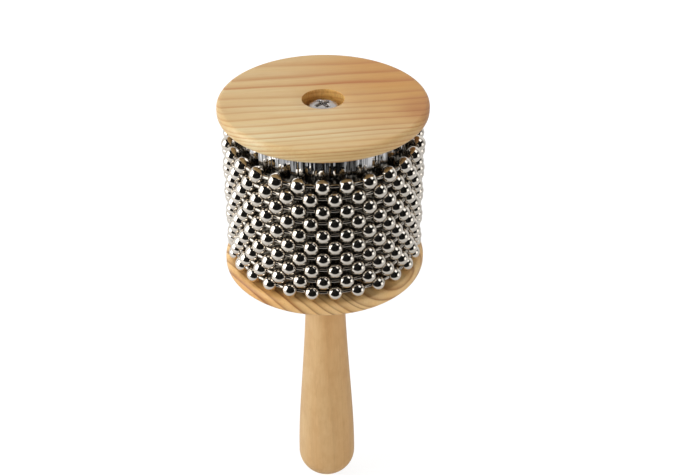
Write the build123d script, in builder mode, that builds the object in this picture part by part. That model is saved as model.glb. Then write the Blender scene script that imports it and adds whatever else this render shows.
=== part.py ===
from build123d import *
from math import asin, ceil, cos, pi, sin, sqrt
import os

# Cabasa: a wooden hand percussion instrument. Loops of steel ball chain, stacked so that their balls
# nest in each other, turn around a fluted steel drum between two wooden discs on a turned handle.
# Millimetres, +Z along the axis towards the drum, origin on the axis in the middle of the hand grip.

# Handle
GRIP_DIAMETER = 22.0
NECK_DIAMETER = 13.7
HANDLE_LENGTH = 103.7
GRIP_FROM_END = 45.0
END_ROUNDING = 10.0
GRIP_SWELL = 26.0
NECK_SWELL = 38.0
NECK_SHOULDER = 1.5
TENON_DEPTH = 20.0
TENON_CHAMFER = 0.8

# Discs
DISC_THICKNESS = 4.7
DISC_EDGE_FLAT = 1.1
DISC_RIM = 0.8
WELL_CHAMFER = 0.2

# Drum
DRUM_DIAMETER = 56.6
SLEEVE_SHEET = 0.4
FLUTE_DEPTH = 0.15
FLUTE_COUNT = 120
FLUTE_LAND = 0.25

# Bead loops
ROW_COUNT = 10
BALL_DIAMETER = 5.4
BALL_WALL = 0.4
LINK_GAP = 2.19
PIN_DIAMETER = 1.4
PIN_HEAD_LIP = 0.5
PIN_HEAD_LENGTH = 0.6
NEST_GAP = 0.54
STACK_PLAY = 7.24
FRONT_ANGLE = -90.9

# Screw
SCREW_DIAMETER = 4.0
SCREW_BITE = 28.0
SCREW_TIP = 5.0
SCREW_HEAD_DIAMETER = 10.8
SCREW_HEAD_HEIGHT = 3.2
SCREW_HEAD_RIM = 1.6
RECESS_WIDTH = 6.4
RECESS_SLOT = 1.5
RECESS_DEPTH = 1.9
RECESS_TURN = 35.0

# Clearances
LOOP_CLEARANCE = 0.4
STACK_SEAT = 0.2
PIN_CLEARANCE = 0.08
WOOD_FIT = 0.05
SCREW_CLEARANCE = 0.25
WELL_CLEARANCE = 1.6
PILOT_FIT = 0.02
PILOT_EXTRA = 2.0

# Worked-out sizes of the bead loops. A loop has the fewest balls that keep it clear of the drum.
ball_radius = BALL_DIAMETER / 2
drum_radius = DRUM_DIAMETER / 2
chain_pitch = BALL_DIAMETER + LINK_GAP
least_loop_radius = drum_radius + LOOP_CLEARANCE + ball_radius
ball_count = ceil(pi / asin(chain_pitch / (2 * least_loop_radius)))
ball_step = 360.0 / ball_count
half_step = pi / ball_count
loop_radius = chain_pitch / (2 * sin(half_step))
nest_step = 2 * loop_radius * sin(half_step / 2)
row_pitch = sqrt((BALL_DIAMETER + NEST_GAP) ** 2 - nest_step**2)

# Worked-out sizes of the wooden parts
disc_radius = loop_radius + ball_radius + DISC_RIM
disc_edge_radius = (DISC_THICKNESS - DISC_EDGE_FLAT) / 2
drum_height = STACK_SEAT + BALL_DIAMETER + (ROW_COUNT - 1) * row_pitch + STACK_PLAY
tenon_radius = NECK_DIAMETER / 2 - NECK_SHOULDER
well_radius = SCREW_HEAD_DIAMETER / 2 + WELL_CLEARANCE
core_radius = drum_radius - FLUTE_DEPTH - SLEEVE_SHEET - WOOD_FIT

# Heights along the axis, from the rounded end of the handle up to the top face
end_z = -GRIP_FROM_END
shoulder_z = end_z + HANDLE_LENGTH
drum_bottom_z = shoulder_z + DISC_THICKNESS
drum_top_z = drum_bottom_z + drum_height
top_face_z = drum_top_z + DISC_THICKNESS
tenon_top_z = drum_bottom_z + TENON_DEPTH
screw_tip_z = tenon_top_z - SCREW_BITE
first_row_z = drum_top_z - STACK_PLAY - ball_radius

os.makedirs("parts", exist_ok=True)

# Handle: turned profile with a tenon that passes the bottom disc into the core
with BuildPart() as handle:
    with BuildSketch(Plane.XZ):
        with BuildLine():
            rounded_end = EllipticalCenterArc(
                (0, end_z + END_ROUNDING), GRIP_DIAMETER / 2, END_ROUNDING, start_angle=270, arc_size=90
            )
            taper = Bezier(
                rounded_end @ 1,
                (GRIP_DIAMETER / 2, end_z + END_ROUNDING + GRIP_SWELL),
                (NECK_DIAMETER / 2, shoulder_z - NECK_SWELL),
                (NECK_DIAMETER / 2, shoulder_z),
            )
            Polyline(
                taper @ 1,
                (tenon_radius, shoulder_z),
                (tenon_radius, tenon_top_z - TENON_CHAMFER),
                (tenon_radius - TENON_CHAMFER, tenon_top_z),
                (0, tenon_top_z),
                rounded_end @ 0,
            )
        make_face()
    revolve(axis=Axis.Z)
    with Locations((0, 0, tenon_top_z)):
        Hole(SCREW_DIAMETER / 2 + PILOT_FIT, depth=SCREW_BITE + PILOT_EXTRA)
handle.part.label = "handle"
export_step(handle.part, "parts/handle.step")

# Bottom disc: rests on the shoulder of the handle
with BuildPart() as bottom_disc:
    with BuildSketch(Plane.XY.offset(shoulder_z)):
        Circle(disc_radius)
    extrude(amount=DISC_THICKNESS)
    fillet(bottom_disc.edges().filter_by(GeomType.CIRCLE), disc_edge_radius)
    with Locations((0, 0, drum_bottom_z)):
        Hole(tenon_radius + WOOD_FIT)
bottom_disc.part.label = "bottom_disc"
export_step(bottom_disc.part, "parts/bottom_disc.step")

# Drum core: solid wood with a socket for the tenon and a clearance hole for the screw
with BuildPart() as drum_core:
    with BuildSketch(Plane.XY.offset(drum_bottom_z)):
        Circle(core_radius)
    extrude(amount=drum_height)
    with BuildSketch(Plane.XY.offset(drum_bottom_z)):
        Circle(tenon_radius + WOOD_FIT)
    extrude(amount=TENON_DEPTH, mode=Mode.SUBTRACT)
    with Locations((0, 0, drum_top_z)):
        Hole(SCREW_DIAMETER / 2 + SCREW_CLEARANCE)
drum_core.part.label = "drum_core"
export_step(drum_core.part, "parts/drum_core.step")

# Drum sleeve: steel sheet around the core, with shallow upright flutes and narrow lands between them
flute_width = pi * DRUM_DIAMETER / FLUTE_COUNT - FLUTE_LAND
flute_radius = (flute_width**2 / 4 + FLUTE_DEPTH**2) / (2 * FLUTE_DEPTH)
with BuildPart() as drum_sleeve:
    with BuildSketch(Plane.XY.offset(drum_bottom_z)):
        Circle(drum_radius)
        Circle(core_radius + WOOD_FIT, mode=Mode.SUBTRACT)
        with PolarLocations(drum_radius - FLUTE_DEPTH + flute_radius, FLUTE_COUNT):
            Circle(flute_radius, mode=Mode.SUBTRACT)
    extrude(amount=drum_height)
drum_sleeve.part.label = "drum_sleeve"
export_step(drum_sleeve.part, "parts/drum_sleeve.step")

# Top disc: glued on the core, with a wide well down to the screw's head
with BuildPart() as top_disc:
    with BuildSketch(Plane.XY.offset(drum_top_z)):
        Circle(disc_radius)
    extrude(amount=DISC_THICKNESS)
    fillet(top_disc.edges().filter_by(GeomType.CIRCLE), disc_edge_radius)
    with Locations((0, 0, top_face_z)):
        Hole(well_radius)
    well_rim = top_disc.faces().sort_by(Axis.Z)[-1].edges().sort_by(SortBy.RADIUS)[0]
    chamfer(well_rim, WELL_CHAMFER)
top_disc.part.label = "top_disc"
export_step(top_disc.part, "parts/top_disc.step")

# Centre screw: domed cross-head screw that sits on the core and runs through it into the handle
with BuildPart() as centre_screw:
    with BuildSketch(Plane.XZ):
        with BuildLine():
            head_rim = Line(
                (SCREW_HEAD_DIAMETER / 2, drum_top_z),
                (SCREW_HEAD_DIAMETER / 2, drum_top_z + SCREW_HEAD_RIM),
            )
            dome = EllipticalCenterArc(
                (0, drum_top_z + SCREW_HEAD_RIM),
                SCREW_HEAD_DIAMETER / 2,
                SCREW_HEAD_HEIGHT - SCREW_HEAD_RIM,
                start_angle=0,
                arc_size=90,
            )
            Polyline(
                dome @ 1,
                (0, screw_tip_z),
                (SCREW_DIAMETER / 2, screw_tip_z + SCREW_TIP),
                (SCREW_DIAMETER / 2, drum_top_z),
                head_rim @ 0,
            )
        make_face()
    revolve(axis=Axis.Z)
    with BuildSketch(Plane.XY.offset(drum_top_z + SCREW_HEAD_HEIGHT - RECESS_DEPTH)):
        Rectangle(RECESS_WIDTH, RECESS_SLOT, rotation=RECESS_TURN)
        Rectangle(RECESS_SLOT, RECESS_WIDTH, rotation=RECESS_TURN)
    extrude(amount=RECESS_DEPTH, mode=Mode.SUBTRACT)
centre_screw.part.label = "centre_screw"
export_step(centre_screw.part, "parts/centre_screw.step")

# One ball of the chain: a hollow sphere with a hole towards each neighbour in the loop
with BuildPart() as ball:
    Sphere(ball_radius)
    Sphere(ball_radius - BALL_WALL, mode=Mode.SUBTRACT)
    for side in (1, -1):
        towards_neighbour = (-sin(half_step), side * cos(half_step), 0)
        with Locations(Plane((0, 0, 0), z_dir=towards_neighbour)):
            Cylinder(
                PIN_DIAMETER / 2 + PIN_CLEARANCE,
                ball_radius,
                align=(Align.CENTER, Align.CENTER, Align.MIN),
                mode=Mode.SUBTRACT,
            )

# One link pin: a rod with a head at each end, each head captive inside a ball
pin_head_radius = PIN_DIAMETER / 2 + PIN_HEAD_LIP
head_seat = sqrt((ball_radius - BALL_WALL - PIN_CLEARANCE) ** 2 - pin_head_radius**2)
with BuildPart() as link_pin:
    with BuildSketch(Plane.XY):
        with BuildLine():
            Polyline(
                (0, 0),
                (PIN_DIAMETER / 2, 0),
                (PIN_DIAMETER / 2, chain_pitch / 2 - head_seat),
                (pin_head_radius, chain_pitch / 2 - head_seat),
                (pin_head_radius, chain_pitch / 2 - head_seat + PIN_HEAD_LENGTH),
                (0, chain_pitch / 2 - head_seat + PIN_HEAD_LENGTH),
                close=True,
            )
        make_face()
        mirror(about=Plane.XZ)
    revolve(axis=Axis.Y)

# Bead loops, from the top one down, each half a step round from the one above it
for row in range(ROW_COUNT):
    loop_name = f"bead_loop_{row + 1:02d}"
    loop_plane = Plane.XY.offset(first_row_z - row * row_pitch)
    ball_angle = FRONT_ANGLE + (row % 2) * ball_step / 2
    pin_angle = ball_angle + ball_step / 2

    with BuildPart(loop_plane) as balls:
        with PolarLocations(loop_radius, ball_count, start_angle=ball_angle):
            add(ball.part)
    balls.part.label = f"{loop_name}_balls"
    export_step(balls.part, f"parts/{loop_name}_balls.step")

    with BuildPart(loop_plane) as pins:
        with PolarLocations(loop_radius * cos(half_step), ball_count, start_angle=pin_angle):
            add(link_pin.part)
    pins.part.label = f"{loop_name}_pins"
    export_step(pins.part, f"parts/{loop_name}_pins.step")
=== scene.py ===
"""Looks of a wooden hand cabasa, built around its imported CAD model.

The wooden parts, the fluted drum sleeve, the screw, the balls and their link pins are rebuilt here as clean
meshes at the CAD model's own sizes, with procedural wood and metal. The instrument's lengths are in
millimetres until a mesh is made, in the frame of the CAD model: +Z up the axis, origin in the middle of the
hand grip. The floor, the lamps and the camera are placed in metres.
"""

import math
import random
from typing import NamedTuple

import bpy
from mathutils import Matrix, Vector


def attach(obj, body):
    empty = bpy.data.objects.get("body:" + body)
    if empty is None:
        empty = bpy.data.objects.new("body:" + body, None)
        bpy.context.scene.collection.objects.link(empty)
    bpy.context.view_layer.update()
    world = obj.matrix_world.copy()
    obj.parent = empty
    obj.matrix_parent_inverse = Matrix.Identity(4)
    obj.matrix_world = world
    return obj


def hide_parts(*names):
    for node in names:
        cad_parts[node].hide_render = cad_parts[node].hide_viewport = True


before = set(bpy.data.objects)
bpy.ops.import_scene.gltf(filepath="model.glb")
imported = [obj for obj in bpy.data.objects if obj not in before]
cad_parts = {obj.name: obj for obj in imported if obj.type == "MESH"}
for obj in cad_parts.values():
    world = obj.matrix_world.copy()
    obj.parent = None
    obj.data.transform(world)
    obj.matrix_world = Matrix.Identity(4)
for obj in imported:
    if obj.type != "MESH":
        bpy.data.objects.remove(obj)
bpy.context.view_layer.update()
scene = bpy.context.scene
MM = 0.001

# Driving sizes of the CAD model: handle and discs
GRIP_DIAMETER = 22.0
NECK_DIAMETER = 13.7
HANDLE_LENGTH = 103.7
GRIP_FROM_END = 45.0
END_ROUNDING = 10.0
GRIP_SWELL = 26.0
NECK_SWELL = 38.0
NECK_SHOULDER = 1.5
TENON_DEPTH = 20.0
TENON_CHAMFER = 0.8
WOOD_FIT = 0.05
DISC_THICKNESS = 4.7
DISC_EDGE_FLAT = 1.1
DISC_RIM = 0.8
WELL_CLEARANCE = 1.6
WELL_CHAMFER = 0.2

# Driving sizes of the CAD model: drum and bead loops
DRUM_DIAMETER = 56.6
SLEEVE_SHEET = 0.4
FLUTE_DEPTH = 0.15
ROW_COUNT = 10
BALL_COUNT = 26
BALL_DIAMETER = 5.4
BALL_WALL = 0.4
LINK_GAP = 2.19
PIN_DIAMETER = 1.4
PIN_HEAD_LIP = 0.5
PIN_HEAD_LENGTH = 0.6
PIN_CLEARANCE = 0.08
NEST_GAP = 0.54
STACK_SEAT = 0.2
STACK_PLAY = 7.24
FRONT_ANGLE = math.radians(-90.9)

# Driving sizes of the CAD model: screw
SCREW_DIAMETER = 4.0
SCREW_BITE = 28.0
SCREW_TIP = 5.0
SCREW_HEAD_DIAMETER = 10.8
SCREW_HEAD_HEIGHT = 3.2
SCREW_HEAD_RIM = 1.6
RECESS_TURN = math.radians(35.0)

# Worked-out sizes of the CAD model
BALL_RADIUS = BALL_DIAMETER / 2
BALL_INNER = BALL_RADIUS - BALL_WALL
PIN_RADIUS = PIN_DIAMETER / 2
BALL_HOLE = PIN_RADIUS + PIN_CLEARANCE
PIN_HEAD_RADIUS = PIN_RADIUS + PIN_HEAD_LIP
PIN_HEAD_SEAT = math.sqrt((BALL_INNER - PIN_CLEARANCE) ** 2 - PIN_HEAD_RADIUS**2)
CHAIN_PITCH = BALL_DIAMETER + LINK_GAP
HALF_STEP = math.pi / BALL_COUNT
LOOP_RADIUS = CHAIN_PITCH / (2 * math.sin(HALF_STEP))
NEST_STEP = 2 * LOOP_RADIUS * math.sin(HALF_STEP / 2)
ROW_PITCH = math.sqrt((BALL_DIAMETER + NEST_GAP) ** 2 - NEST_STEP**2)
STACK_HEIGHT = BALL_DIAMETER + (ROW_COUNT - 1) * ROW_PITCH
SLEEVE_RADIUS = DRUM_DIAMETER / 2
SLEEVE_INNER = SLEEVE_RADIUS - FLUTE_DEPTH - SLEEVE_SHEET
DISC_RADIUS = LOOP_RADIUS + BALL_RADIUS + DISC_RIM
DISC_EDGE = (DISC_THICKNESS - DISC_EDGE_FLAT) / 2
GRIP_RADIUS = GRIP_DIAMETER / 2
NECK_RADIUS = NECK_DIAMETER / 2
TENON_RADIUS = NECK_RADIUS - NECK_SHOULDER
SCREW_RADIUS = SCREW_DIAMETER / 2
SCREW_HEAD_RADIUS = SCREW_HEAD_DIAMETER / 2
SCREW_HEAD_DOME = SCREW_HEAD_HEIGHT - SCREW_HEAD_RIM
WELL_RADIUS = SCREW_HEAD_RADIUS + WELL_CLEARANCE

# Heights along the axis
END_Z = -GRIP_FROM_END
SHOULDER_Z = END_Z + HANDLE_LENGTH
DRUM_BOTTOM_Z = SHOULDER_Z + DISC_THICKNESS
DRUM_TOP_Z = DRUM_BOTTOM_Z + STACK_SEAT + STACK_HEIGHT + STACK_PLAY
TOP_Z = DRUM_TOP_Z + DISC_THICKNESS
TENON_TOP_Z = DRUM_BOTTOM_Z + TENON_DEPTH
SCREW_TIP_Z = TENON_TOP_Z - SCREW_BITE
FIRST_ROW_Z = DRUM_TOP_Z - STACK_PLAY - BALL_RADIUS

# Finish that only the looks have: facets of the sleeve, softened edges and the tapered cross
FACET_WIDTHS = (0.3, 0.45, 0.6, 0.8, 1.1)
FACET_SPREAD = 0.15
FACET_DEPTH = 0.24
FACET_SEED = 7
WELL_SOFTENING = 0.06
CROSS_HALF_WIDTH = (0.55, 0.9)  # at the cross's floor and at its top
CROSS_REACH = (2.2, 3.2)  # of an arm, at the cross's floor and at its top
CROSS_UNDER_RIM = 0.1
LIP_ROLL = 0.07
LIP_STEPS = ((0.015, 0.04), (0.0, 0.12))  # how much wider than the hole, and how deep
PIN_NECK = (0.06, 0.1)  # rounding under a head, across and along the pin
PIN_HEAD_EDGE = 0.12

# Fineness of the meshes, and the angles in degrees from which their edges are sharp
DISC_SEGMENTS = 224
DISC_EDGE_STEPS = 10
DISC_FACE_STEPS = 6
HANDLE_SEGMENTS = 96
HANDLE_END_STEPS = 20
HANDLE_TAPER_STEPS = 56
SCREW_SEGMENTS = 96
SCREW_DOME_STEPS = 40
BALL_SEGMENTS = 28
BALL_STEPS = 24
BALL_INNER_STEPS = 8
PIN_SEGMENTS = 18
SHARP_EDGE = 35.0
SHARP_EDGE_ON_ROUND = 60.0
SHARP_EDGE_ON_FACETS = 1.0
ON_AXIS = 1e-6  # a smaller radius is a point on the axis


# Meshes


def arc(r_centre, z_centre, r_size, z_size, start, end, count):
    """Points of an elliptical arc in the half plane of a turned profile, angles in degrees."""
    points = []
    for i in range(count + 1):
        a = math.radians(start + (end - start) * i / count)
        points.append((r_centre + r_size * math.cos(a), z_centre + z_size * math.sin(a)))
    return points


def bezier(p0, p1, p2, p3, count):
    """Points of a cubic curve, without its first point."""
    points = []
    for i in range(1, count + 1):
        t = i / count
        w = ((1 - t) ** 3, 3 * t * (1 - t) ** 2, 3 * t * t * (1 - t), t**3)
        points.append(tuple(sum(k * p[axis] for k, p in zip(w, (p0, p1, p2, p3))) for axis in (0, 1)))
    return points


def skin(rings, segments, closed):
    """Faces between neighbouring rings of vertex numbers."""
    faces = []
    for i in range(len(rings) - (0 if closed else 1)):
        low, high = rings[i], rings[(i + 1) % len(rings)]
        for s in range(segments):
            e = (s + 1) % segments
            corners = [low[s], low[e], high[e], high[s]]
            face = [c for k, c in enumerate(corners) if c not in corners[:k]]
            if len(face) > 2:
                faces.append(face)
    return faces


def turned(profile, segments, closed):
    """Vertices and faces of a profile turned about Z.

    A closed profile is a loop, and an open one starts and ends on the axis.
    """
    verts, rings = [], []
    for r, z in profile:
        if r < ON_AXIS:
            rings.append([len(verts)] * segments)
            verts.append((0.0, 0.0, z))
            continue
        rings.append(list(range(len(verts), len(verts) + segments)))
        for s in range(segments):
            a = 2 * math.pi * s / segments
            verts.append((r * math.cos(a), r * math.sin(a), z))
    return verts, skin(rings, segments, closed)


def piece(name, shape, material, body, replaced, sharp=SHARP_EDGE):
    """One mesh object of the instrument, from millimetres, that rides on a body and stands for a CAD node."""
    verts, faces = shape
    mesh = bpy.data.meshes.new(name)
    mesh.from_pydata([tuple(c * MM for c in v) for v in verts], [], faces)
    mesh.validate()
    mesh.shade_smooth()
    mesh.set_sharp_from_angle(angle=math.radians(sharp))
    mesh.materials.append(material)
    made = bpy.data.objects.new(name, mesh)
    scene.collection.objects.link(made)
    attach(made, body)
    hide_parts(replaced)


# Node trees


class Layer(NamedTuple):
    """Noise with so many waves per unit along X, Y and Z, and the range of its values that is used."""

    waves: tuple
    low: float = 0.0
    high: float = 1.0
    detail: float = 2.0
    roughness: float = 0.5


class Nodes:
    """A small builder for one node tree."""

    # Sockets of a mix node that mixes colours
    MIX_FACTOR, MIX_A, MIX_B, MIX_COLOUR = 0, 6, 7, 2

    def __init__(self, tree):
        self.tree = tree
        self.tree.nodes.clear()

    def add(self, kind, inputs=None, **settings):
        """A new node with these settings, and with values or other nodes' outputs on its inputs."""
        node = self.tree.nodes.new(kind)
        for key, value in settings.items():
            setattr(node, key, value)
        for key, value in (inputs or {}).items():
            self.feed(node.inputs[key], value)
        return node

    def feed(self, socket, value):
        if isinstance(value, bpy.types.NodeSocket):
            self.tree.links.new(value, socket)
        else:
            socket.default_value = value

    def calc(self, operation, a, b=0.0):
        return self.add("ShaderNodeMath", {0: a, 1: b}, operation=operation).outputs[0]

    def vector(self, operation, a, b=(0.0, 0.0, 0.0)):
        node = self.add("ShaderNodeVectorMath", {0: a, 1: b}, operation=operation)
        return node.outputs["Value" if operation == "LENGTH" else "Vector"]

    def noise(self, place, layer, output="Fac"):
        waves = self.vector("MULTIPLY", place, layer.waves)
        inputs = {"Vector": waves, "Scale": 1.0, "Detail": layer.detail, "Roughness": layer.roughness}
        return self.add("ShaderNodeTexNoise", inputs).outputs[output]

    def span(self, value, low, high, to_low=0.0, to_high=1.0, smooth=False):
        """value taken from one range to another and held at its ends."""
        node = self.add(
            "ShaderNodeMapRange",
            {"Value": value, "From Min": low, "From Max": high, "To Min": to_low, "To Max": to_high},
            interpolation_type="SMOOTHSTEP" if smooth else "LINEAR",
        )
        return node.outputs["Result"]

    def share(self, place, layer, to_low=0.0, to_high=1.0, smooth=False):
        """A layer's noise with its range taken to another."""
        return self.span(self.noise(place, layer), layer.low, layer.high, to_low, to_high, smooth)

    def ramp(self, value, stops):
        """Grey levels at stops between 0 and 1."""
        node = self.add("ShaderNodeValToRGB", {"Fac": value})
        elements = node.color_ramp.elements
        while len(elements) < len(stops):
            elements.new(0.5)
        for element, (position, level) in zip(elements, stops):
            element.position = position
            element.color = (level, level, level, 1.0)
        return node.outputs["Color"]

    def mix(self, factor, a, b, blend="MIX"):
        node = self.add("ShaderNodeMix", data_type="RGBA", blend_type=blend)
        self.feed(node.inputs[self.MIX_FACTOR], factor)
        for socket, colour in ((self.MIX_A, a), (self.MIX_B, b)):
            self.feed(node.inputs[socket], (*colour, 1.0) if isinstance(colour, tuple) else colour)
        return node.outputs[self.MIX_COLOUR]

    def tone(self, base, factor, colour):
        """base multiplied with a colour, as far as factor says."""
        return self.mix(factor, base, colour, "MULTIPLY")

    def bump(self, height, strength, distance):
        node = self.add("ShaderNodeBump", {"Height": height, "Strength": strength, "Distance": distance})
        return node.outputs["Normal"]

    def millimetres(self):
        """The place on the object, in millimetres."""
        metres = self.add("ShaderNodeTexCoord").outputs["Object"]
        return self.vector("MULTIPLY", metres, (1 / MM, 1 / MM, 1 / MM))

    def rays(self, *kinds):
        """1 for rays of these kinds, else 0."""
        path = self.add("ShaderNodeLightPath")
        total = path.outputs[kinds[0]]
        for kind in kinds[1:]:
            total = self.calc("MAXIMUM", total, path.outputs[kind])
        return total


class Shader(Nodes):
    """The node tree of one material."""

    def __init__(self, name):
        self.material = bpy.data.materials.new(name)
        self.material.use_nodes = True
        super().__init__(self.material.node_tree)
        self.output = self.add("ShaderNodeOutputMaterial")

    def finish(self, inputs):
        shader = self.add("ShaderNodeBsdfPrincipled", inputs)
        self.feed(self.output.inputs["Surface"], shader.outputs["BSDF"])
        return self.material


# Wood


class Wood(NamedTuple):
    """A kind of wood with growth rings about a pith line, in millimetres. Its rings run on over the edges."""

    pith: tuple  # a point on the pith line
    fibre: tuple  # turn of the pith line away from X, in degrees about X, Y and Z
    spacing: float  # ring width as far from the pith as the middle of the top face is
    closing: float  # how fast rings narrow outwards, 1 for even rings
    early: tuple  # colour of early wood
    late: tuple  # colour of late wood
    tint: tuple  # tone of broad streaks
    late_share: float  # how far a ring turns to the colour of late wood
    bold: float  # least strength of a ring
    wave: float  # how far rings wander
    mottle: float  # strength of soft blotches
    patches: tuple  # places of another tone, each with its middle, its reach and its tone
    coat: float  # weight of the lacquer
    gloss: float  # mean roughness
    torn_and_shaded: bool = False  # whether it has the well's wall: torn fibres, with painted shade on its left and painted light on its right


# Layers with X along the fibre, apart from TORN, whose Z is up the wall of the well
WANDER = Layer((0.01225, 0.035, 0.035))
FADING = Layer((0.03, 0.12, 0.12), 0.35, 0.65)
BROAD = Layer((0.012, 0.16, 0.16), 0.35, 0.7)
THREADS = Layer((0.035, 2.6, 2.6), 0.25, 0.8, detail=4.0, roughness=0.65)
FLECKS = Layer((0.16, 3.4, 3.4), 0.66, 0.74, detail=1.0)
BLOTCHES = Layer((0.16, 0.26, 0.26), 0.4, 0.65, detail=3.0, roughness=0.6)
TORN = Layer((1.6, 1.6, 0.48), 0.45, 0.65, detail=3.0, roughness=0.7)

# One ring from its early wood to its late wood: place in the ring and darkness
RING_STOPS = (
    (0.0, 0.4),
    (0.07, 0.1),
    (0.15, 0.0),
    (0.45, 0.05),
    (0.68, 0.3),
    (0.88, 0.85),
    (0.95, 0.95),
    (1.0, 0.4),
)
UNEVEN_WAVES = 0.11
UNEVEN_DETAIL = 2.0
UNEVEN_RINGS = 2.4
BROAD_SHARE = 0.8
THREAD_SHARE = 0.42
THREAD_TONE = (0.72, 0.60, 0.46)
FLECK_SHARE = 0.30
BLOTCH_TONE = (0.88, 0.79, 0.68)
PATCH_CORE = 0.2
BORED_CHAMFER = (0.5, 0.6)  # parts of the chamfer between which the wall's tone ends
# Painted shade on the well's left wall and painted light on its right: the X in millimetres over which one
# turns into the other, and the two tones
WELL_SHADE_TO_LIGHT = (-5.0, 4.5)
WELL_PAINTED_SHADE = (0.88, 0.70, 0.42)
WELL_PAINTED_LIGHT = (1.25, 1.27, 1.05)
TORN_SHARE = 0.5
TORN_TONE = (0.6, 0.5, 0.4)
THREAD_RELIEF = 0.6
RING_RELIEF = 0.35
WOOD_RELIEF = (0.25, 0.06 * MM)  # strength and depth of a bump, as for the other reliefs and the dents
GLOSS_THREADS = (0.2, 0.8)
GLOSS_SPREAD = (-0.06, 0.08)
COAT_ROUGHNESS = 0.28


def ring_strength(m, board, kind):
    """How much late wood a place has, from 0 to 1."""
    wander = m.vector("SUBTRACT", m.noise(board, WANDER, output="Color"), (0.5, 0.5, 0.5))
    shift = m.vector("MULTIPLY", wander, (0.0, kind.wave, kind.wave))
    radius = m.vector("LENGTH", m.vector("MULTIPLY", m.vector("ADD", board, shift), (0.0, 1.0, 1.0)))
    depth = math.hypot(kind.pith[1], kind.pith[2] - TOP_Z)
    narrowed = m.calc("POWER", m.calc("DIVIDE", radius, depth), kind.closing)
    even = m.calc("MULTIPLY", narrowed, depth / kind.closing / kind.spacing)
    uneven_inputs = {"W": radius, "Scale": UNEVEN_WAVES, "Detail": UNEVEN_DETAIL}
    uneven = m.add("ShaderNodeTexNoise", uneven_inputs, noise_dimensions="1D").outputs["Fac"]
    turn = m.calc("ADD", even, m.calc("MULTIPLY", uneven, UNEVEN_RINGS))
    year = m.add("ShaderNodeTexWhiteNoise", {"W": m.calc("FLOOR", turn)}, noise_dimensions="1D")
    boldness = m.span(year.outputs["Value"], 0.0, 1.0, kind.bold, 1.0)
    strength = m.calc("MULTIPLY", m.ramp(m.calc("FRACT", turn), RING_STOPS), boldness)
    faded = (1.0 + kind.bold) / 2
    return m.calc("MULTIPLY", strength, m.share(board, FADING, faded, 1.0))


def torn_and_shaded_well(m, place, base):
    """base with the well's wall: darker torn fibres, with painted shade on its left and painted light on its
    right.
    """
    flat = m.vector("MULTIPLY", place, (1.0, 1.0, 0.0))
    bored_radius, bare_radius = (WELL_RADIUS + part * WELL_CHAMFER for part in BORED_CHAMFER)
    within = m.span(m.vector("LENGTH", flat), bored_radius, bare_radius, 1.0, 0.0)
    side = m.add("ShaderNodeSeparateXYZ", {0: flat}).outputs["X"]
    tone = m.mix(m.span(side, *WELL_SHADE_TO_LIGHT, smooth=True), WELL_PAINTED_SHADE, WELL_PAINTED_LIGHT)
    tone = m.tone(tone, m.share(place, TORN, 0.0, TORN_SHARE), TORN_TONE)
    return m.tone(base, within, tone)


def wood(name, kind):
    """A material of this kind of wood."""
    m = Shader(name)
    place = m.millimetres()
    board = m.add(
        "ShaderNodeMapping",
        {"Vector": place, "Location": kind.pith, "Rotation": tuple(math.radians(a) for a in kind.fibre)},
        vector_type="TEXTURE",
    ).outputs["Vector"]
    rings = ring_strength(m, board, kind)
    threads = m.noise(board, THREADS)
    base = m.mix(m.calc("MULTIPLY", rings, kind.late_share), kind.early, kind.late)
    base = m.tone(base, m.share(board, BROAD, 0.0, BROAD_SHARE), kind.tint)
    base = m.tone(base, m.span(threads, THREADS.low, THREADS.high, 0.0, THREAD_SHARE), THREAD_TONE)
    base = m.mix(m.share(board, FLECKS, 0.0, FLECK_SHARE, smooth=True), base, kind.late)
    base = m.tone(base, m.share(board, BLOTCHES, 0.0, kind.mottle, smooth=True), BLOTCH_TONE)
    # Patches of another tone: some are the wood's own tone, others are painted shade or painted sheen
    for middle, reach, tone in kind.patches:
        apart = m.vector("LENGTH", m.vector("SUBTRACT", place, middle))
        base = m.tone(base, m.span(apart, PATCH_CORE * reach, reach, 1.0, 0.0, smooth=True), tone)
    if kind.torn_and_shaded:
        base = torn_and_shaded_well(m, place, base)
    height = m.calc("ADD", m.calc("MULTIPLY", threads, THREAD_RELIEF), m.calc("MULTIPLY", rings, RING_RELIEF))
    smoothest, roughest = (kind.gloss + spread for spread in GLOSS_SPREAD)
    return m.finish(
        {
            "Base Color": base,
            "Roughness": m.span(threads, *GLOSS_THREADS, smoothest, roughest),
            "Normal": m.bump(height, *WOOD_RELIEF),
            "Coat Weight": kind.coat,
            "Coat Roughness": COAT_ROUGHNESS,
        }
    )


# A warmer wood tone that is also painted shade: darker and more orange on the top disc's right and back
AMBER_AND_SHADE = (0.88, 0.62, 0.285)
# Painted sheen: a paler tone where the top disc's lacquer catches light, on its front and its front-left edge
PAINTED_SHEEN = (1.08, 1.16, 1.27)
# Painted shade: a darker tone on the top disc's right rim
PAINTED_RIM_SHADE = (0.82, 0.66, 0.52)
TAN = (0.97, 0.85, 0.68)
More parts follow.
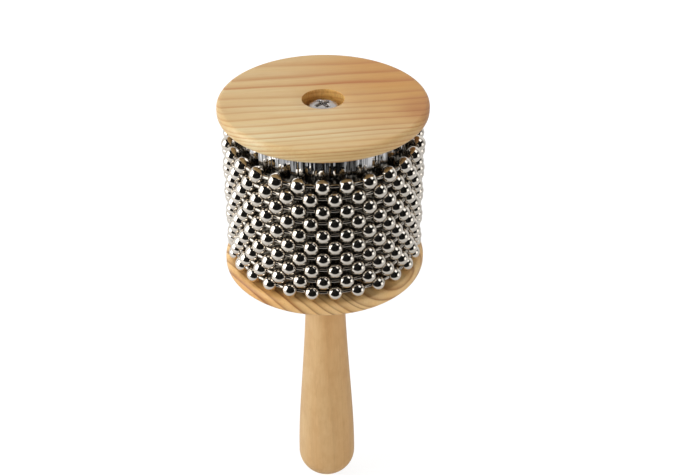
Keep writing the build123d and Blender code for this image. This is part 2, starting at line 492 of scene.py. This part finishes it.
# Painted shade: a darker, warmer tone down the handle's right side
PAINTED_SIDE_SHADE = (0.975, 0.91, 0.81)
TOP_PINE = wood(
    "pine_top_disc",
    Wood(
        pith=(-9.4, 45.0, 294.0),
        fibre=(0.0, 0.0, 6.0),
        spacing=1.35,
        closing=3.0,
        early=(0.79, 0.585, 0.295),
        late=(0.55, 0.205, 0.025),
        tint=(0.97, 0.84, 0.64),
        late_share=1.0,
        bold=0.4,
        wave=2.0,
        mottle=0.15,
        # Top disc patches: a warmer tone with painted shade to the right and back, painted sheen at the front
        # and the front-left edge, and painted shade on the right rim
        patches=(
            ((34.0, 20.0, 122.0), 57.0, AMBER_AND_SHADE),
            ((-6.0, -20.0, 122.0), 30.0, PAINTED_SHEEN),
            ((-25.0, -24.0, 119.0), 18.0, PAINTED_SHEEN),
            ((33.0, -7.0, 121.0), 13.0, PAINTED_RIM_SHADE),
        ),
        coat=0.15,
        gloss=0.46,
        torn_and_shaded=True,
    ),
)
BOTTOM_PINE = wood(
    "pine_bottom_disc",
    Wood(
        pith=(6.3, 4.9, 89.3),
        fibre=(0.0, 0.0, -52.0),
        spacing=2.4,
        closing=1.5,
        early=(0.97, 0.68, 0.325),
        late=(0.36, 0.13, 0.02),
        tint=(0.96, 0.82, 0.62),
        late_share=1.0,
        bold=0.7,
        wave=3.5,
        mottle=0.15,
        patches=(((-28.0, -26.0, 62.0), 32.0, TAN),),
        coat=0.15,
        gloss=0.46,
    ),
)
HANDLE_WOOD = wood(
    "handle_beech",
    Wood(
        pith=(38.0, 22.0, 0.0),
        fibre=(0.0, -90.0, 0.0),
        spacing=3.2,
        closing=1.0,
        early=(0.785, 0.535, 0.265),
        late=(0.58, 0.35, 0.15),
        tint=(0.94, 0.85, 0.74),
        late_share=0.3,
        bold=0.2,
        wave=2.5,
        mottle=0.4,
        # Painted shade down the handle's right side, at several heights
        patches=tuple(((12.0, -4.0, z), 24.0, PAINTED_SIDE_SHADE) for z in (44.0, 20.0, -4.0, -28.0)),
        coat=0.1,
        gloss=0.5,
    ),
)


# Metal

WIPES = Layer((0.55, 0.55, 0.55), 0.3, 0.75, detail=3.0)
MARKS = Layer((2.6, 2.6, 11.7), detail=3.0, roughness=0.6)
GRIME = Layer((1.4, 1.4, 1.4), 0.35, 0.75)
GRIME_SHARE = 0.25
GRIME_LEVEL = 0.86
FAINT_DENTS = (0.04, 0.03 * MM)
DEEP_DENTS = (1.0, 0.08 * MM)

# The sleeve: upright streaks, and the zone from the first loop down, which the beads have worn dull and which
# carries painted shade of the bead stack
STREAKS = Layer((0.9, 0.9, 0.0036), 0.42, 0.62, roughness=0.6)
RIPPLES = Layer((0.75, 0.75, 0.003), detail=1.0)
CLOUDS = Layer((0.4, 0.4, 0.12), 0.3, 0.7)
RIPPLE_RELIEF = (0.5, 0.2 * MM)
SHEET_BRIGHT = (0.88, 0.88, 0.89)
SHEET_DARK = (0.16, 0.155, 0.15)
SHEET_ROUGHNESS = (0.05, 0.11)
# Painted shade: the dark colour of the sleeve behind the bead stack, in the zone the beads also wear dull
BEAD_STACK_SHADE = (0.16, 0.145, 0.12)
RUBBED_ROUGHNESS = 0.13
RUBBED_AND_SHADED_ABOVE_ROW = (0.5, 4.0)
RAGGED_STREAKS = (0.3, 0.7)
RAGGED_REACH = 1.5


def polished(name, colour, smooth, rough, dents=FAINT_DENTS):
    """Plated metal with handling marks: soft wipes, grime and dents."""
    m = Shader(name)
    place = m.millimetres()
    grimy = tuple(GRIME_LEVEL * c for c in colour)
    return m.finish(
        {
            "Base Color": m.mix(m.share(place, GRIME, 0.0, GRIME_SHARE), colour, grimy),
            "Metallic": 1.0,
            "Roughness": m.share(place, WIPES, smooth, rough),
            "Normal": m.bump(m.noise(place, MARKS), *dents),
        }
    )


def rolled_steel(name):
    """Bright sheet with upright rolling streaks, worn dull where the beads run, with painted shade of the
    bead stack there.
    """
    m = Shader(name)
    place = m.millimetres()
    streaks = m.noise(place, STREAKS)
    bright = m.mix(m.span(streaks, STREAKS.low, STREAKS.high), SHEET_BRIGHT, SHEET_DARK)
    height = m.add("ShaderNodeSeparateXYZ", {0: place}).outputs["Z"]
    ragged = m.calc("ADD", height, m.span(streaks, *RAGGED_STREAKS, -RAGGED_REACH, RAGGED_REACH))
    zone_low, zone_high = (FIRST_ROW_Z + above for above in RUBBED_AND_SHADED_ABOVE_ROW)
    rubbed_and_shaded = m.span(ragged, zone_low, zone_high, 1.0, 0.0, smooth=True)
    dull = m.calc("MULTIPLY", rubbed_and_shaded, RUBBED_ROUGHNESS)
    return m.finish(
        {
            "Base Color": m.mix(rubbed_and_shaded, bright, BEAD_STACK_SHADE),
            "Metallic": 1.0,
            "Roughness": m.calc("ADD", m.share(place, CLOUDS, *SHEET_ROUGHNESS), dull),
            "Normal": m.bump(m.noise(place, RIPPLES), *RIPPLE_RELIEF),
        }
    )


NICKEL = polished("nickel_ball", (0.75, 0.69, 0.61), smooth=0.03, rough=0.065)
# Painted shade: the pins' nickel is darker than the balls', for the shade in the gaps between the balls
SHADED_PIN_NICKEL = polished("nickel_pin_shaded", (0.44, 0.40, 0.35), smooth=0.06, rough=0.12)
SCREW_STEEL = polished("zinc_screw", (0.48, 0.45, 0.43), smooth=0.08, rough=0.16, dents=DEEP_DENTS)
SLEEVE_STEEL = rolled_steel("bright_rolled_sheet")


# Wooden parts


def disc_shape(low, high, hole_radius, hole_edge):
    """A disc with a rounded rim and a hole, whose upper edge has the given points."""
    inner = DISC_RADIUS - DISC_EDGE
    top_radius = hole_edge[0][0]

    def face(r_from, r_to, z):
        """Points along a flat face between two radii, both ends left out."""
        return [(r_from + (r_to - r_from) * i / DISC_FACE_STEPS, z) for i in range(1, DISC_FACE_STEPS)]

    profile = [(hole_radius, low)] + face(hole_radius, inner, low)
    profile += arc(inner, low + DISC_EDGE, DISC_EDGE, DISC_EDGE, -90, 0, DISC_EDGE_STEPS)
    profile += arc(inner, high - DISC_EDGE, DISC_EDGE, DISC_EDGE, 0, 90, DISC_EDGE_STEPS)
    profile += face(inner, top_radius, high) + hole_edge
    return turned(profile, DISC_SEGMENTS, True)


def handle_shape():
    """The rounded end, the taper of the grip, and the tenon inside the drum."""
    profile = arc(0, END_Z + END_ROUNDING, GRIP_RADIUS, END_ROUNDING, -90, 0, HANDLE_END_STEPS)
    profile += bezier(
        (GRIP_RADIUS, END_Z + END_ROUNDING),
        (GRIP_RADIUS, END_Z + END_ROUNDING + GRIP_SWELL),
        (NECK_RADIUS, SHOULDER_Z - NECK_SWELL),
        (NECK_RADIUS, SHOULDER_Z),
        HANDLE_TAPER_STEPS,
    )
    profile += [
        (TENON_RADIUS, SHOULDER_Z),
        (TENON_RADIUS, TENON_TOP_Z - TENON_CHAMFER),
        (TENON_RADIUS - TENON_CHAMFER, TENON_TOP_Z),
        (0.0, TENON_TOP_Z),
    ]
    return turned(profile, HANDLE_SEGMENTS, False)


well_edge = [
    (WELL_RADIUS + WELL_CHAMFER, TOP_Z),
    (WELL_RADIUS + WELL_SOFTENING, TOP_Z - WELL_SOFTENING),
    (WELL_RADIUS, TOP_Z - WELL_CHAMFER),
]
top_disc = disc_shape(DRUM_TOP_Z, TOP_Z, WELL_RADIUS, well_edge)
piece("top_disc_wood", top_disc, TOP_PINE, "frame", "top_disc")

tenon_hole = TENON_RADIUS + WOOD_FIT
bottom_disc = disc_shape(SHOULDER_Z, DRUM_BOTTOM_Z, tenon_hole, [(tenon_hole, DRUM_BOTTOM_Z)])
piece("bottom_disc_wood", bottom_disc, BOTTOM_PINE, "frame", "bottom_disc")

piece("handle_turned", handle_shape(), HANDLE_WOOD, "frame", "handle")

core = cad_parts["drum_core"]
core.data.materials.clear()
core.data.materials.append(HANDLE_WOOD)


# Drum sleeve: narrow upright facets, each tipped a little to one side


def sleeve_shape():
    """A thin tube with uneven facets outside and a round bore."""
    draw = random.Random(FACET_SEED)
    widths = []
    while sum(widths) < 2 * math.pi * SLEEVE_RADIUS:
        widths.append(draw.choice(FACET_WIDTHS) * draw.uniform(1 - FACET_SPREAD, 1 + FACET_SPREAD))
    columns, angle = [], 0.0
    for width in widths:
        columns.append((angle, SLEEVE_RADIUS - FACET_DEPTH * draw.uniform(0.0, 1.0)))
        angle += 2 * math.pi * width / sum(widths)

    verts, rings = [], []
    for outer, z in ((True, DRUM_BOTTOM_Z), (True, DRUM_TOP_Z), (False, DRUM_TOP_Z), (False, DRUM_BOTTOM_Z)):
        rings.append(list(range(len(verts), len(verts) + len(columns))))
        for angle, radius in columns:
            r = radius if outer else SLEEVE_INNER
            verts.append((r * math.cos(angle), r * math.sin(angle), z))
    return verts, skin(rings, len(columns), True)


piece(
    "drum_sleeve_fluted",
    sleeve_shape(),
    SLEEVE_STEEL,
    "frame",
    "drum_sleeve",
    sharp=SHARP_EDGE_ON_FACETS,
)


# Screw: domed head with a tapered cross recess


def recess(x, y):
    """How far a point of the head sinks into the cross, from 0 to 1."""

    def fall(value, low, high):
        t = min(max((value - low) / (high - low), 0.0), 1.0)
        return 1.0 - t * t * (3 - 2 * t)

    across = abs(x * math.cos(RECESS_TURN) + y * math.sin(RECESS_TURN))
    along = abs(y * math.cos(RECESS_TURN) - x * math.sin(RECESS_TURN))
    one_arm = fall(along, *CROSS_HALF_WIDTH) * fall(across, *CROSS_REACH)
    other_arm = fall(across, *CROSS_HALF_WIDTH) * fall(along, *CROSS_REACH)
    return max(one_arm, other_arm)


def screw_shape():
    """The dome down to its rim, with the cross sunk into it, then the underside, the shank and the tip."""
    rim_z = DRUM_TOP_Z + SCREW_HEAD_RIM
    profile = []
    for i in range(SCREW_DOME_STEPS + 1):
        out = i / SCREW_DOME_STEPS
        profile.append((SCREW_HEAD_RADIUS * out, rim_z + SCREW_HEAD_DOME * math.sqrt(1 - out**2)))
    profile += [
        (SCREW_HEAD_RADIUS, DRUM_TOP_Z),
        (SCREW_RADIUS, DRUM_TOP_Z),
        (SCREW_RADIUS, SCREW_TIP_Z + SCREW_TIP),
        (0.0, SCREW_TIP_Z),
    ]
    verts, faces = turned(profile, SCREW_SEGMENTS, False)
    sunk = []
    for x, y, z in verts:
        depth = recess(x, y) * (z - rim_z + CROSS_UNDER_RIM) if z > rim_z else 0.0
        sunk.append((x, y, z - depth))
    return sunk, [face[::-1] for face in faces]


piece(
    "centre_screw_crosshead",
    screw_shape(),
    SCREW_STEEL,
    "frame",
    "centre_screw",
    sharp=SHARP_EDGE_ON_ROUND,
)


# Balls and link pins


def half_circle(radius, first, count):
    """Points from one pole of a circle to the other, first being the angle that is left open at each pole."""
    points = []
    for i in range(count + 1):
        a = first + (math.pi - 2 * first) * i / count
        points.append((radius * math.sin(a), radius * math.cos(a)))
    return points


def ball_shape():
    """A hollow ball with a rolled hole towards each neighbour. X points out of the loop, Y along it."""
    lip = math.sqrt(BALL_RADIUS**2 - BALL_HOLE**2)
    far_lip = [(BALL_HOLE + wider, deeper - lip) for wider, deeper in LIP_STEPS]
    near_lip = [(r, -along) for r, along in reversed(far_lip)]
    outside = half_circle(BALL_RADIUS, math.asin((BALL_HOLE + LIP_ROLL) / BALL_RADIUS), BALL_STEPS)
    inside = half_circle(BALL_INNER, math.asin(BALL_HOLE / BALL_INNER), BALL_INNER_STEPS)
    verts, rings = [], []
    for r, along in outside + far_lip + inside[::-1] + near_lip:
        bend = along / math.hypot(r, along) * BALL_RADIUS / lip
        tilt = Matrix.Rotation(HALF_STEP * max(-1.0, min(1.0, bend)), 3, "Z")
        rings.append(list(range(len(verts), len(verts) + BALL_SEGMENTS)))
        for s in range(BALL_SEGMENTS):
            a = 2 * math.pi * s / BALL_SEGMENTS
            verts.append(tilt @ Vector((r * math.cos(a), along, r * math.sin(a))))
    return verts, skin(rings, BALL_SEGMENTS, True)


def pin_shape():
    """A rod with a rounded head at each end, along Y."""
    seat = CHAIN_PITCH / 2 - PIN_HEAD_SEAT
    end = seat + PIN_HEAD_LENGTH
    neck_wider, neck_longer = PIN_NECK
    half = [
        (PIN_RADIUS, 0.0),
        (PIN_RADIUS, seat - neck_longer),
        (PIN_RADIUS + neck_wider, seat),
        (PIN_HEAD_RADIUS - PIN_HEAD_EDGE, seat),
        (PIN_HEAD_RADIUS, seat + PIN_HEAD_EDGE),
        (PIN_HEAD_RADIUS, end - PIN_HEAD_EDGE),
        (PIN_HEAD_RADIUS - PIN_HEAD_EDGE, end),
        (0.0, end),
    ]
    profile = [(r, -y) for r, y in reversed(half[1:])] + half
    verts, faces = turned(profile, PIN_SEGMENTS, False)
    return [Vector((x, z, -y)) for x, y, z in verts], faces


def around(shape, radius, start, z):
    """Copies of a shape set evenly around the axis, one for each ball of a loop."""
    verts, faces = [], []
    for k in range(BALL_COUNT):
        spin = Matrix.Rotation(start + 2 * HALF_STEP * k, 3, "Z")
        first = len(verts)
        verts += [tuple(spin @ (v + Vector((radius, 0.0, 0.0))) + Vector((0.0, 0.0, z))) for v in shape[0]]
        faces += [[first + c for c in face] for face in shape[1]]
    return verts, faces


ball, pin = ball_shape(), pin_shape()
for row in range(ROW_COUNT):
    loop = f"bead_loop_{row + 1:02d}"
    row_z = FIRST_ROW_Z - row * ROW_PITCH
    ball_angle = FRONT_ANGLE + (row % 2) * HALF_STEP
    balls = around(ball, LOOP_RADIUS, ball_angle, row_z)
    pins = around(pin, LOOP_RADIUS * math.cos(HALF_STEP), ball_angle + HALF_STEP, row_z)
    piece(
        f"{loop}_polished_balls",
        balls,
        NICKEL,
        loop,
        f"{loop}_balls",
        sharp=SHARP_EDGE_ON_ROUND,
    )
    piece(f"{loop}_link_pins", pins, SHADED_PIN_NICKEL, loop, f"{loop}_pins")


# Floor: white to the camera apart from the shadow on it, and dimmer in the metal, where its white holds
# painted light to the left and a painted shadow near the instrument

FLOOR_SIDE, FLOOR_FRONT, FLOOR_BACK = 0.9, -0.27, 1.4
FLOOR_GREY = (0.8, 0.8, 0.8, 1.0)
FLOOR_SHADED = (0.22, 0.22, 0.22, 1.0)
WHITE = (1.0, 1.0, 1.0, 1.0)

# Levels of the floor's white: from one place to another in metres, and the level at each
SEEN_BY_DISTANCE = (0.15, 0.45, 0.88, 1.0)
# Painted light in reflections: the floor's white is brighter to the left than to the right
MIRRORED_SIDE_LIGHT = (-0.22, 0.22, 0.74, 0.48)
MIRRORED_BY_DEPTH = (FLOOR_FRONT, -0.15, 0.25, 1.0)
# Painted shadow in reflections: the floor's white is dimmer near the instrument
MIRRORED_SHADOW_BY_DISTANCE = (0.06, 0.2, 0.6, 1.0)


def floor_material():
    """Plain grey to matt light, and a white of its own to the camera and to reflections, with painted light
    and a painted shadow in the reflected white.
    """
    m = Shader("pale_floor")
    seen = m.rays("Is Camera Ray")
    seen_or_mirrored = m.rays("Is Camera Ray", "Is Glossy Ray", "Is Transmission Ray")
    place = m.add("ShaderNodeNewGeometry").outputs["Position"]
    sides = m.add("ShaderNodeSeparateXYZ", {0: place}).outputs
    distance = m.vector("LENGTH", place)
    seen_level = m.span(distance, *SEEN_BY_DISTANCE, smooth=True)
    painted_side_light = m.span(sides["X"], *MIRRORED_SIDE_LIGHT)
    painted_shadow = m.span(distance, *MIRRORED_SHADOW_BY_DISTANCE, smooth=True)
    ahead = m.span(sides["Y"], *MIRRORED_BY_DEPTH, smooth=True)
    mirrored_level = m.calc("MULTIPLY", m.calc("MULTIPLY", painted_side_light, painted_shadow), ahead)
    unseen = m.calc("SUBTRACT", 1.0, seen)
    level = m.calc("ADD", m.calc("MULTIPLY", seen, seen_level), m.calc("MULTIPLY", unseen, mirrored_level))
    plain = m.add("ShaderNodeBsdfDiffuse", {"Color": FLOOR_GREY})
    shaded = m.add("ShaderNodeBsdfDiffuse", {"Color": FLOOR_SHADED})
    glow = m.add("ShaderNodeEmission", {"Color": WHITE, "Strength": level})
    white = m.add("ShaderNodeAddShader", {0: shaded.outputs[0], 1: glow.outputs[0]})
    both = m.add("ShaderNodeMixShader", {0: seen_or_mirrored, 1: plain.outputs[0], 2: white.outputs[0]})
    m.feed(m.output.inputs["Surface"], both.outputs[0])
    return m.material


floor_corners = [
    (-FLOOR_SIDE, FLOOR_FRONT, END_Z * MM),
    (FLOOR_SIDE, FLOOR_FRONT, END_Z * MM),
    (FLOOR_SIDE, FLOOR_BACK, END_Z * MM),
    (-FLOOR_SIDE, FLOOR_BACK, END_Z * MM),
]
floor_mesh = bpy.data.meshes.new("floor")
floor_mesh.from_pydata(floor_corners, [], [(0, 1, 2, 3)])
floor_mesh.materials.append(floor_material())
floor = bpy.data.objects.new("floor", floor_mesh)
scene.collection.objects.link(floor)


# Room: white to the camera. To the instrument it is dark in front and pale behind, with dim things in it

ROOM_BY_DEPTH = (-0.1, 0.6, 0.003, 0.4)
ROOM_SHEEN = 2.2
ROOM_THINGS = Layer((5.0, 5.0, 5.0), 0.53, 0.68, detail=3.0)
ROOM_THINGS_LEVEL = 0.08

world = bpy.data.worlds.new("studio")
world.use_nodes = True
scene.world = world
studio = Nodes(world.node_tree)
direction = studio.add("ShaderNodeTexCoord").outputs["Generated"]
backward = studio.add("ShaderNodeSeparateXYZ", {0: direction}).outputs["Y"]
glossy = studio.rays("Is Glossy Ray")
sheen = studio.span(glossy, 0.0, 1.0, 1.0, ROOM_SHEEN)
room = studio.calc("MULTIPLY", studio.span(backward, *ROOM_BY_DEPTH), sheen)
things = studio.share(direction, ROOM_THINGS, 0.0, ROOM_THINGS_LEVEL, smooth=True)
room_level = studio.calc("ADD", room, studio.calc("MULTIPLY", things, glossy))
strength = studio.calc("MAXIMUM", room_level, studio.rays("Is Camera Ray"))
background = studio.add("ShaderNodeBackground", {"Color": WHITE, "Strength": strength})
studio.add("ShaderNodeOutputWorld", {"Surface": background.outputs[0]})


# Lamps

LAMPS_AIM = Vector((0.0, 0.0, 0.08))


def softbox(name, place, width, height, radiance, mirrored=True, shining=True):
    """A rectangular lamp that faces the instrument.

    mirrored lets it show in shiny surfaces, and shining lets it light matt ones.
    """
    data = bpy.data.lights.new(name, "AREA")
    data.shape = "RECTANGLE"
    data.size, data.size_y = width, height
    data.energy = radiance * math.pi * width * height
    lamp = bpy.data.objects.new(name, data)
    lamp.location = place
    lamp.rotation_mode = "QUATERNION"
    lamp.rotation_quaternion = (LAMPS_AIM - Vector(place)).to_track_quat("-Z", "Y")
    lamp.visible_glossy = mirrored
    lamp.visible_diffuse = shining
    scene.collection.objects.link(lamp)


softbox("left_softbox", (-0.50, -0.09, 0.24), width=0.46, height=0.56, radiance=3.0)
softbox("right_softbox", (0.50, -0.17, 0.07), width=0.28, height=0.26, radiance=1.4)
softbox("upper_right_card", (0.36, -0.12, 0.62), width=0.34, height=0.36, radiance=1.5, shining=False)
softbox("overhead_back", (-0.12, 0.22, 0.70), width=0.6, height=0.6, radiance=1.7, mirrored=False)
softbox("front_fill", (0.26, -0.70, 0.40), width=0.8, height=0.6, radiance=2.3, mirrored=False)


# Camera, fitted to the outlines in the photograph: places in metres, turns in radians

CAMERA_AHEAD_OF_AXIS = 0.33848
CAMERA_ABOVE_TOP = 0.17325
CAMERA_YAW, CAMERA_PITCH, CAMERA_ROLL = 0.0161, 0.593, -0.002
FOCAL_PIXELS, IMAGE_WIDTH, SENSOR_WIDTH = 1153.0, 680.0, 36.0
CLIP_START, CLIP_END = 0.01, 20.0

level_ahead = Vector((math.sin(CAMERA_YAW), math.cos(CAMERA_YAW), 0.0))
ahead = math.cos(CAMERA_PITCH) * level_ahead - Vector((0.0, 0.0, math.sin(CAMERA_PITCH)))
aside = Vector((math.cos(CAMERA_YAW), -math.sin(CAMERA_YAW), 0.0))
above = aside.cross(ahead)
rolled_aside = math.cos(CAMERA_ROLL) * aside + math.sin(CAMERA_ROLL) * above
rolled_above = math.cos(CAMERA_ROLL) * above - math.sin(CAMERA_ROLL) * aside
camera_place = Matrix.Translation((0.0, -CAMERA_AHEAD_OF_AXIS, TOP_Z * MM + CAMERA_ABOVE_TOP))
camera_turn = Matrix((rolled_aside, rolled_above, -ahead)).transposed().to_4x4()

camera_data = bpy.data.cameras.new("photo_camera")
camera_data.sensor_fit = "HORIZONTAL"
camera_data.sensor_width = SENSOR_WIDTH
camera_data.lens = SENSOR_WIDTH * FOCAL_PIXELS / IMAGE_WIDTH
camera_data.clip_start, camera_data.clip_end = CLIP_START, CLIP_END
camera = bpy.data.objects.new("photo_camera", camera_data)
camera.matrix_world = camera_place @ camera_turn
scene.collection.objects.link(camera)
scene.camera = camera
scene.view_settings.view_transform = "Standard"
